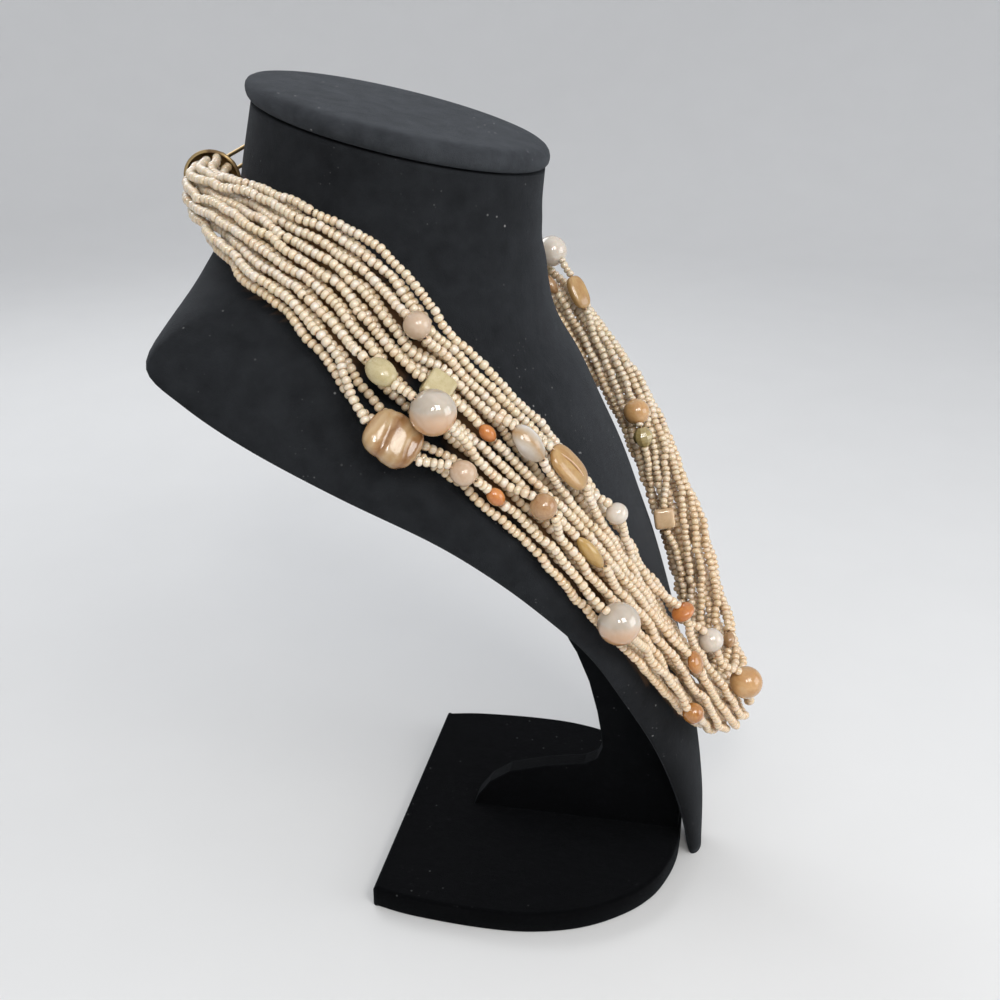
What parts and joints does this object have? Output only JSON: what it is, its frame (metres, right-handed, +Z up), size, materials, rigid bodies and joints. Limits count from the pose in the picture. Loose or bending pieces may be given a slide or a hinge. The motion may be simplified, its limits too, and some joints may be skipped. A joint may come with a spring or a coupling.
{
  "type": "multi strand necklace on a neck bust",
  "caption": "Twisted multi strand bead necklace with bell caps and a clasp link, lying on a black velvet neck bust that leans back on a plate and an upright board.",
  "frame": {"origin": "on the resting plane, on the middle line of the stand", "axes": "+Z up, the bust faces -Y, its own left side is +X"},
  "size_m": [0.1855, 0.2069, 0.2894],
  "materials": {
    "velvet": "black velvet, matt",
    "pad_velvet": "black velvet, matt, a little lighter at the edge",
    "seed_beads": "pearly pinkish cream glass, glossy",
    "milky_glass": "milky white glass, glossy",
    "banded_shell": "banded shell, satin",
    "pink_stone": "polished",
    "orange_glass": "pearly, glossy",
    "amber_glass": "glossy",
    "cream_stone": "polished",
    "tan_glass": "glossy",
    "yellow_glass": "glossy",
    "striped_stone": "banded, polished",
    "green_glass": "faceted, glossy",
    "pearl": "pearl lustre",
    "gold_glass": "pearly gold, glossy",
    "white_glass": "glossy",
    "peach_glass": "pearly, glossy",
    "ivory_glass": "glossy",
    "antique_brass": "worn, antiqued"
  },
  "bodies": {
    "root": {"base_plate": "velvet", "upright_board": "velvet", "bust_form": "velvet", "neck_pad": "pad_velvet", "strand_01": "seed_beads", "strand_02": "seed_beads", "strand_03": "seed_beads", "strand_04": "seed_beads", "strand_05": "seed_beads", "strand_06": "seed_beads", "strand_07": "seed_beads", "strand_08": "seed_beads", "strand_09": "seed_beads", "strand_10": "seed_beads", "strand_11": "seed_beads", "strand_12": "seed_beads", "strand_13": "seed_beads", "strand_14": "seed_beads", "strand_15": "seed_beads", "strand_16": "seed_beads", "shell_bead": "banded_shell", "pink_nugget_bead": "pink_stone", "orange_bead_2": "orange_glass", "amber_bead": "amber_glass", "cream_oval_bead": "cream_stone", "milky_bead_1": "milky_glass", "tan_bead": "tan_glass", "milky_bead_2": "milky_glass", "brown_bead": "tan_glass", "rice_bead": "yellow_glass", "orange_bead_1": "orange_glass", "amber_nugget_bead": "amber_glass", "square_tablet": "cream_stone", "striped_nugget_bead": "striped_stone", "faceted_bead": "green_glass", "pearl_bead": "pearl", "gold_disc_bead": "gold_glass", "white_bead_1": "white_glass", "orange_disc_bead": "orange_glass", "peach_bead_1": "peach_glass", "cube_bead": "ivory_glass", "dark_bead": "tan_glass", "grey_bead": "white_glass", "peach_bead_2": "peach_glass", "tan_disc_bead": "gold_glass", "white_bead_2": "white_glass", "bell_cap_near": "antique_brass", "bell_cap_far": "antique_brass", "clasp_link": "antique_brass"}
  },
  "joints": []
}
